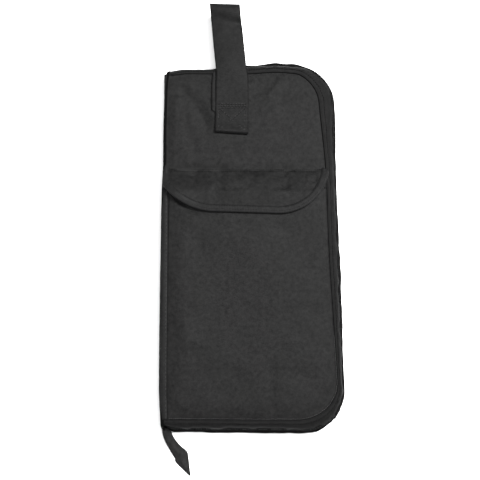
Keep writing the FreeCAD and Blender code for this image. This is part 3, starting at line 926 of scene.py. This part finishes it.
def zip_side(half):
    """One zip tape with its row of coil teeth, from the closed end under the handle to the tail."""
    front_half = half == "front"
    side = 1 if front_half else -1
    start = int(np.argmax(RIM_X > ZIP_START))
    near = MIDDLE + 0.6 * side
    far = (span("front_zip_tape")[1][2] if front_half else span("back_zip_tape")[0][2]) + 0.8 * side
    columns = []
    for z in np.linspace(near, far, 5):
        path = rim_points(half, zip_share() - (z - MIDDLE) * ZIP_TILT, z)
        columns.append((path - rim_outward(path) * 0.2)[start:])
    points = np.stack(columns, 1)
    if front_half:
        points = points[::-1]
    tape = surface(f"{half}_zip_tape_knit", points, ZIP_TAPE, ZIP_TAPE_THICKNESS, offset=0.0)
    belongs(tape, f"{half}_half", "zip_tape", f"{half}_zip_tape")

    path = rim_points(half, zip_share(), MIDDLE + 0.75 * side)
    path = (path + rim_outward(path) * 0.75)[start:]
    centres, directions = spaced(path, TOOTH_PITCH)
    if front_half:
        centres = centres + directions * TOOTH_PITCH / 2
    upright = unit(np.tile([0.0, 0, 1.0], (len(centres), 1)) + directions * 0.15)
    teeth = beads(f"{half}_zip_coil_teeth", centres, upright, TOOTH_LENGTH, TOOTH_RADIUS, COIL)
    belongs(teeth, f"{half}_half", "zip_coil", f"{half}_zip_coil")


# ---- the back, the spine and the inside

COARSE_STEP = 4


def back_height(x, y):
    """The back panel's outer face, which rests on the floor."""
    inside = np.minimum(rim_distance(x, y), x - LEFT)
    lift = 1.3 * (1 - smooth(inside, 0, 18))
    return 0.05 + lift + 0.12 * (1 + ripple(x, y, 60, 51)) * smooth(inside, 0, 25)


def back_cover():
    points = back(panel_grid(back_height, -HALF_LENGTH, HALF_LENGTH, LEFT, 0, COARSE_STEP))[::-1]
    panel = surface("back_panel_cloth", points, SHELL, CLOTH)
    belongs(panel, "back_half", "shell_fabric", "back_panel")


def foam(half):
    """A sheet of foam with soft edges."""
    low, high = span(f"{half}_foam")
    hold = front if half == "front" else back
    centre, thick = (low[2] + high[2]) / 2, (high[2] - low[2]) / 2 - 0.15
    inset = RIGHT - high[0]
    edge_radius = 3

    def face(side):
        def height(x, y):
            inside = np.minimum(rim_distance(x, y, inset), x - low[0])
            inside = np.minimum(inside, HALF_LENGTH - inset - np.abs(y))
            soft = np.sqrt(1 - (1 - np.clip(inside / edge_radius, 0, 1)) ** 2)
            z = centre + side * thick * soft * (1 - 0.06 * (1 + ripple(x, y, 25, 61)))
            return np.minimum(z, panel_height(x, y) - CLOTH - 0.3) if half == "front" else z

        length = HALF_LENGTH - inset
        return hold(panel_grid(height, -length, length, low[0], inset, COARSE_STEP))

    top = surface(f"{half}_foam_top", face(1), FOAM)
    bottom = surface(f"{half}_foam_bottom", face(-1)[::-1], FOAM)
    pad = joined(f"{half}_foam_pad", [top, bottom])
    weld = pad.modifiers.new("edges", "WELD")
    weld.merge_threshold = 0.05 * MM
    belongs(pad, f"{half}_half", "foam_padding", f"{half}_foam")


def lining(half):
    """The lining over the foam, a little loose."""
    low, high = span(f"{half}_lining")
    front_half = half == "front"
    level = low[2] if front_half else high[2]

    def height(x, y):
        inside = np.minimum(rim_distance(x, y), x - LEFT)
        loose = 0.25 * smooth(inside, 0, 20) * (1 + ripple(x, y, 45, 71))
        return level + loose if front_half else level - loose

    points = panel_grid(height, -HALF_LENGTH, HALF_LENGTH, LEFT, 0, COARSE_STEP)
    points = front(points)[::-1] if front_half else back(points)
    cloth = surface(f"{half}_lining_cloth", points, LINING, LINING_CLOTH)
    belongs(cloth, f"{half}_half", "lining_fabric", f"{half}_lining")


def inside_pocket(name, half, channels, depth):
    """A pocket on a lining, sewn down at its ends and between its channels, open at its mouth."""
    low, high = span(name)
    front_half = half == "front"
    hold = front if front_half else back
    side = -1.0 if front_half else 1.0
    width = (high[0] - low[0]) / channels

    def height(x, y):
        t = np.clip((x - low[0]) / width, 0, channels - 1e-6) % 1
        full = np.sin(PI * np.clip(t, 0, 1)) ** 0.7
        end = smooth((y - low[1]) / 16)
        rise = 0.5 + depth * full * end + 0.2 * full * ripple(x, y, 38, 81)
        return FRONT_LINING_LOW - rise if front_half else BACK_LINING_TOP + rise

    x = np.linspace(low[0], high[0], 44 * channels + 1)[None, :]
    y = rows_between(low[1], high[1], 3.5)[:, None]
    points = hold(on(height, x, y + 0 * x))
    if front_half:
        points = points[::-1]
    cloth = surface(f"{name}_cloth", points, LINING, POCKET_LINING)
    belongs(cloth, f"{half}_half", "lining_fabric", name)
    path = hold(on(height, x[0], high[1] - HEM_MIDDLE))
    hem = hem_tape(f"{name}_hem_tape", f"{name}_hem", path, INSIDE_HEM, side, f"{half}_half")

    rows = []
    lift = 0.25 * side
    along = np.linspace(low[1] + 2, high[1] - 2, 60)
    for k in range(channels + 1):
        place = low[0] + 0.6 + k * (high[0] - low[0] - 1.2) / channels
        rows.append(hold(on(height, np.full(60, place), along, lift)))
    rows.append(hold(on(height, np.linspace(low[0] + 1, high[0] - 1, 90), low[1] + 2, lift)))
    belongs(stitches(f"{name}_stitches", rows, THREAD), f"{half}_half", "lining_fabric")


# Each spine strip's section: distance in from the spine's outer face, and height.
LOWER_SECTION = (
    (3.5, 0.9), (1.3, 1.0), (0.4, 1.8), (0.05, 3.4), (-0.1, 6.0), (-0.15, 9.5), (-0.15, MIDDLE),
)
UPPER_SECTION = (
    (-0.15, MIDDLE), (-0.15, 16.5), (-0.1, 20.0), (0.05, 22.6), (0.4, 24.3), (1.3, 25.2), (3.5, 25.5),
)


def spine_points(y, section):
    """A spine strip's grid: rows along the spine, columns from one panel's edge to the middle."""
    out = LEFT - 1.9
    end = smooth((y - HALF_LENGTH - 2) / 6) + smooth((-y - HALF_LENGTH - 7) / 8)
    columns = []
    for dx, z in section:
        wave = 0.35 * ripple(y, 20 * z / FACE + 0 * y, 55, 91) + 0.15 * ripple(y, 3 * z, 18, 92)
        weight = hill((z - MIDDLE) / 9)
        x = out + dx + wave * weight + 2.2 * end
        height = z + (MIDDLE - z) * 0.35 * end
        columns.append(np.stack([x, y, height], 1))
    return back(np.stack(columns, 1))


def spine():
    y = rows_between(-HALF_LENGTH - 13.5, HALF_LENGTH + 5.5, 3.0, 0.6)
    panel = span("spine_panel")
    edge, low, high = panel[0][0] * MM, panel[0][2], panel[1][2]
    for name, section, start, end, bodies in (
        ("spine_lower_cloth", LOWER_SECTION, low - 3, low + 2.5, ("back_half", "spine")),
        ("spine_upper_cloth", UPPER_SECTION, high - 2.5, high + 3, ("spine", "front_half")),
    ):
        points = spine_points(y, section)[:, ::-1]
        # The spine strips take the darkest cloth, painted deep shade.
        strip = surface(name, points, DEEP_PAINTED_SHADE_CLOTH, CLOTH, offset=-1.0)
        start, end = (edge, 0, start * MM), (edge, 0, end * MM)
        bends(strip, bodies, start, end, "shell_fabric", "spine_panel")
    spine_lining()
    front_binding()
    back_binding()


def spine_lining():
    low, high = span("spine_lining")
    end_gap = 12
    z = np.linspace(low[2], high[2], 7)
    y = rows_between(low[1] + end_gap, high[1] - end_gap, 5)
    x = high[0] - 0.4 + 0.25 * ripple(y[:, None], z[None, :] * 4, 50, 95)
    points = back(np.stack([x, y[:, None] + 0 * z, z[None, :] + 0 * x], -1))
    inner = surface("spine_lining_cloth", points, LINING, SPINE_LINING, offset=0)
    belongs(inner, "spine", "lining_fabric", "spine_lining")


# The front binding's section: share of the way from its outer to its inner edge, and height.
BINDING_SECTION = (
    (1.1, -0.7), (1.06, 0.3), (0.9, 0.8), (0.5, 1.0), (0.15, 1.0), (-0.1, 0.55), (-0.2, -0.3),
    (-0.22, -1.4), (-0.16, -2.4), (0, -2.6),
)


def front_binding():
    """The tape that binds the spine edge of the front, folded round it and sewn twice."""
    y = rows_between(-HALF_LENGTH - 0.5, HALF_LENGTH + 1.2, 3.0)
    above_flap = smooth((y - FLAP_SEAM - 2) / 6)
    outer = LEFT + spine_shift(y) + 0.25 * ripple(y, 0 * y, 45, 97)
    inner = -97.0 - 0.0111 * (y - 30) - 4.5 * above_flap
    sunk = 0.7 * above_flap
    flatter = 1 - 0.8 * sunk
    columns = []
    for share, z in BINDING_SECTION:
        height = FACE - sunk + (z * flatter if z > 0 else z)
        columns.append(np.stack([outer + (inner - outer) * share, y, height], 1))
    tape = surface("front_spine_binding_tape", np.stack(columns, 1), TAPE, around=True, caps=True)
    rows = []
    for share in (0.25, 0.75):
        row = np.stack([outer + (inner - outer) * share, y, FACE + 0 * y + 1.0], 1)
        rows.append(row[y < FLAP_SEAM])
    thread = joined("front_spine_binding_thread", [
        stitches("outer_row", rows[:1], THREAD),
        stitches("inner_row", rows[1:], LIGHT_THREAD, pitch=5),
    ])
    tape = joined("front_spine_binding_tape", [tape, thread])
    belongs(tape, "front_half", "binding_tape", "front_spine_binding")


def back_binding():
    """The tape over the seam inside the back half."""
    low, high = span("back_spine_binding")
    y = rows_between(low[1], high[1], 4)
    x = np.linspace(low[0] + 0.5, high[0], 6)
    bulge = 0.35 * np.sin(PI * (x - x[0]) / (x[-1] - x[0]))
    z = high[2] + bulge[None, :] + 0.08 * ripple(y[:, None], x[None, :], 20, 99)
    points = back(np.stack([x[None, :] + 0 * z, y[:, None] + 0 * z, z], -1))
    tape = surface("back_spine_binding_tape", points, TAPE, SEAM_TAPE)
    belongs(tape, "back_half", "binding_tape", "back_spine_binding")


# ---- handle, tail, slider

# The webbing's route as y and z, from its lower sewn end to its upper one.
# Where the rear layer lies on the panel, z is above the panel.
REAR_SEWN = (
    (SEWN_END + 1, 0.9), (150, 0.9), (165, 0.9), (HINGE_LINE, 1.0), (190, 1.0), (205, 1.0), (216, 0.9),
)
REAR_FREE = ((228, 26.4), (245, 25.9), (262, 25.7), (280, 25.8), (295, 26.2), (302, 26.6))
TOP_FOLD = ((305.0, 27.6), (306.3, 29.5), (306.4, 31.8), (305.2, 34.0), (302.6, 35.4))
FRONT_FREE = (
    (299, 35.9), (295, 35.5), (291.5, 34.2), (288, 32.4), (284.5, 31.1), (280, 30.7), (270, 31.1),
    (258, 31.6), (245, 31.6), (232, 31.0), (220, 30.2), (208, 29.4), (196, 28.9), (187, 28.7),
)
FRONT_SEWN = (
    (HINGE_LINE, 28.6), (170, 28.7), (160, 28.8), (152, 29.3), (146, 30.6), (SEWN_END + 2.5, 31.8),
    (SEWN_END + 1.0, 31.4), (SEWN_END + 0.5, 30.2), (SEWN_END + 0.5, 28.6),
)


def handle_centre(y, rear):
    """The webbing's middle line: the loop leans to the spine, and its rear layer strays further there."""
    x = -17.8 - 0.105 * (y - 212) * smooth(y, 205, 20)
    astray = 5.2 * smooth((y - HINGE_LINE + 12) / 5) * (1 - smooth(y, 218, 8))
    return x - rear * astray


def rounded(values):
    """Values along a path, with the kinks between its points smoothed."""
    kernel = hill(np.linspace(-1.6, 1.6, 7))
    kernel /= kernel.sum()
    return np.convolve(np.pad(values, len(kernel) // 2, mode="edge"), kernel, "valid")


def handle_route():
    """The webbing's y and z along its length, and 1 where it is the rear layer."""
    under_x, panel_end = -20.0, 212.0
    sewn = [(y, float(panel_height(under_x, min(y, panel_end))) + lift) for y, lift in REAR_SEWN]
    rear = sewn + list(REAR_FREE)
    face = FRONT_FREE + FRONT_SEWN
    route = np.array([(0.0, y, z) for y, z in (*rear, *TOP_FOLD, *face)])
    share = np.concatenate([np.ones(len(rear)), np.linspace(1, 0, len(TOP_FOLD)), np.zeros(len(face))])
    along = lengths(route)
    at = np.linspace(0, along[-1], 230)
    y = np.interp(at, along, route[:, 1])
    z = np.interp(at, along, route[:, 2])
    return rounded(y), rounded(z), np.interp(at, along, share)


def handle():
    """One length of webbing: sewn end, up, over the top fold, down and the other sewn end on top."""
    y, z, rear = (values[:, None] for values in handle_route())
    u = np.linspace(-1, 1, 21)[None, :]
    half_width = 20.7 - 1.6 * smooth(y, 200, 25)
    x = handle_centre(y, rear) + half_width * u
    tilt = 0.105 * smooth(y, 205, 20) - 0.135 * smooth(y, 262, 36)
    fold_lag = 0.20 * hill(y, 288, 9) * (1 - rear)
    end_slant = 0.06 * smooth((150 - y) / 8) * (1 - rear)
    points_y = y + half_width * u * (tilt - fold_lag - end_slant)
    free = smooth((y - HINGE_LINE - 6) / 25)
    curl = (0.9 * u**2 - 0.3) * free * (1 - 2 * rear)
    points_z = z - curl + 0.3 * free * ripple(x, points_y, 40, 101)
    points_z -= 0.9 * hill(y, 284, 7) * smooth(u) * (1 - rear)
    points = np.stack([x, points_y, points_z], -1)
    band = surface("handle_webbing_band", points, WEBBING, WEBBING_THICKNESS, offset=0)
    start, end = (0, (HINGE_LINE - 2) * MM, FACE * MM), (0, (HINGE_LINE + 9) * MM, FACE * MM)
    bodies = ("front_half", "handle_loop")
    bends(band, bodies, start, end, "webbing", "handle_sewn_ends", "handle_webbing")
    handle_stitches()


def handle_stitches():
    """A box with two diagonals, and a double row under the loop, each sewn in light thread with a row of
    dark thread beside it as a painted shadow of the dent the stitches press in.
    """
    low, high = SEWN_END + 3, HINGE_LINE - 5
    centre, half_box = handle_centre(0.0, 0), 16.5
    left, right = centre - half_box, centre + half_box
    corners = [(left, low), (right, low), (right, high), (left, high)]
    rows = [(corners[i], corners[(i + 1) % 4]) for i in range(4)]
    rows += [(corners[0], corners[2]), (corners[1], corners[3])]
    rows += [((left - 1.5, y), (right + 1.5, y)) for y in (HINGE_LINE - 2.6, HINGE_LINE - 0.2)]
    paths = []
    for start, end in rows:
        t = np.linspace(0, 1, 30)[:, None]
        flat = np.array(start) * (1 - t) + np.array(end) * t
        paths.append(np.column_stack([flat, 29.55 + 2.0 * smooth((154 - flat[:, 1]) / 11)]))
    # Dark beads a little aside from each light row paint the shadow of its groove.
    shadow_rows = [path + [0.5, -0.75, -0.12] for path in paths]
    thread = joined("handle_stitches", [
        stitches("light_stitches", paths, LIGHT_THREAD, pitch=3.7),
        stitches("painted_shadow_stitches", shadow_rows, DARK_THREAD_AND_PAINTED_SHADE, pitch=3.1),
    ])
    belongs(thread, "front_half", "webbing")


# The tail's two edges, as x and y past the place where it leaves the bag.
TAIL_LEFT = (
    (-102.5, 5), (-101.5, -4), (-98, -13), (-93.5, -21),
    (-89.5, -28), (-86, -33), (-85.5, -38), (-67.0, -55),
)
TAIL_RIGHT = (
    (-92.0, 5), (-89.5, -3), (-85, -11), (-80, -17),
    (-74, -22), (-70, -26), (-68.3, -40), (-66.2, -55.5),
)


def tail_edge(points, t):
    """One edge of the tail at each t, with its corners rounded."""
    points = np.array(points) + [0, span("tail_tape")[1][1]]
    knots = np.linspace(0, 1, len(points))
    dense = np.stack([np.interp(t, knots, points[:, k]) for k in range(2)], 1)
    ends = np.pad(dense, ((2, 2), (0, 0)), mode="edge")
    return (ends[:-4] + 2 * ends[1:-3] + 3 * ends[2:-2] + 2 * ends[3:-1] + ends[4:]) / 9


def frame_joint(name):
    return next(joint for joint in frame["joints"] if joint["name"] == name)


def tail():
    """The zip tape's loose end, folded flat, with a slanted cut tip."""
    t = np.linspace(0, 1, 40)
    u = np.linspace(0, 1, 12)[None, :]
    left, right = tail_edge(TAIL_LEFT, t)[:, None], tail_edge(TAIL_RIGHT, t)[:, None]
    flat = left * (1 - u[..., None]) + right * u[..., None]
    t = t[:, None]
    down = smooth(t, 0, 0.85)
    z = 7.2 * (1 - down) + 1.6 * down
    z = z + 0.8 * np.sin(PI * u) * (1 - down) + 0.35 * ripple(flat[..., 0], flat[..., 1], 16, 111)
    z = z + 1.1 * hill((u - 0.25 - 0.3 * t) / 0.16) * smooth(t, 0, 0.3)
    points = np.stack([flat[..., 0], flat[..., 1], np.maximum(z, 1.3)], -1)[::-1]
    tape = surface("tail_tape_end", points, TAIL_TAPE, TAIL_THICKNESS, offset=-1)
    x, y, z = frame_joint("tail_lift")["pos_m"]
    bends(tape, ("back_half", "zip_tail"), (x, y + 0.003, z), (x, y - 0.006, z), "zip_tape", "tail_tape")


def slider():
    """The slider, its bail and its pull keep their CAD shapes, with softened edges."""
    for node in ("slider_body", "slider_bail", "pull_tab"):
        obj = frame["nodes"][node]
        obj.data.materials.clear()
        obj.data.materials.append(METAL)
        bevel = obj.modifiers.new("edges", "BEVEL")
        bevel.width = 0.25 * MM
        bevel.segments = 2
        bevel.limit_method = "ANGLE"


# ---- stage


def floor():
    bpy.ops.mesh.primitive_plane_add(size=14, location=(0, 0, 0))
    plane = bpy.context.active_object
    plane.name = "floor"
    nodes = Nodes("floor_paint")
    solid = nodes.add("ShaderNodeTexCoord").outputs["Object"]
    nodes.link("Base Color", nodes.ramp(nodes.noise(solid, 3.0), [(0.3, 0.9), (0.7, 0.92)]))
    nodes.set(Roughness=0.9, Specular_IOR_Level=0.1)
    plane.data.materials.append(nodes.material)


def area_light(name, place, target, size, watts):
    light = bpy.data.lights.new(name, "AREA")
    light.shape = "RECTANGLE"
    light.size, light.size_y = size
    light.energy = watts
    obj = bpy.data.objects.new(name, light)
    obj.location = place
    obj.rotation_euler = (Vector(target) - Vector(place)).to_track_quat("-Z", "Y").to_euler()
    bpy.context.scene.collection.objects.link(obj)


def lights():
    area_light("key", (0.85, 0.6, 2.0), (0, 0, 0), (0.5, 0.5), watts=122)
    area_light("overhead", (0, 0.1, 2.2), (0, 0, 0), (1.6, 1.6), watts=62)
    world = bpy.data.worlds.new("studio")
    world.use_nodes = True
    background = world.node_tree.nodes["Background"]
    background.inputs["Color"].default_value = (1, 1, 1, 1)
    background.inputs["Strength"].default_value = 0.42
    bpy.context.scene.world = world
    bpy.context.scene.view_settings.view_transform = "Standard"


def camera():
    """The photograph's view: nearly straight down, from the foot of the bag."""
    elevation = math.radians(84.09)
    roll = 0.005
    distance = 1.2
    target = Vector((-6.7, 6.8, 15)) * MM
    toward = Vector((0, math.cos(elevation), -math.sin(elevation)))
    data = bpy.data.cameras.new("camera")
    data.sensor_width = 36
    data.lens = 71.7
    obj = bpy.data.objects.new("camera", data)
    turn = toward.to_track_quat("-Z", "Y").to_matrix().to_4x4() @ Matrix.Rotation(roll, 4, "Z")
    obj.matrix_world = Matrix.Translation(target - toward * distance) @ turn
    bpy.context.scene.collection.objects.link(obj)
    bpy.context.scene.camera = obj


floor()
lights()
camera()
front_cover()
front_pocket()
flap()
for half in ("front", "back"):
    gusset(half)
    piping(half)
    zip_side(half)
    foam(half)
    lining(half)
back_cover()
inside_pocket("stick_pocket", "back", channels=3, depth=5.4)
inside_pocket("slip_pocket", "front", channels=1, depth=4.8)
spine()
handle()
tail()
slider()
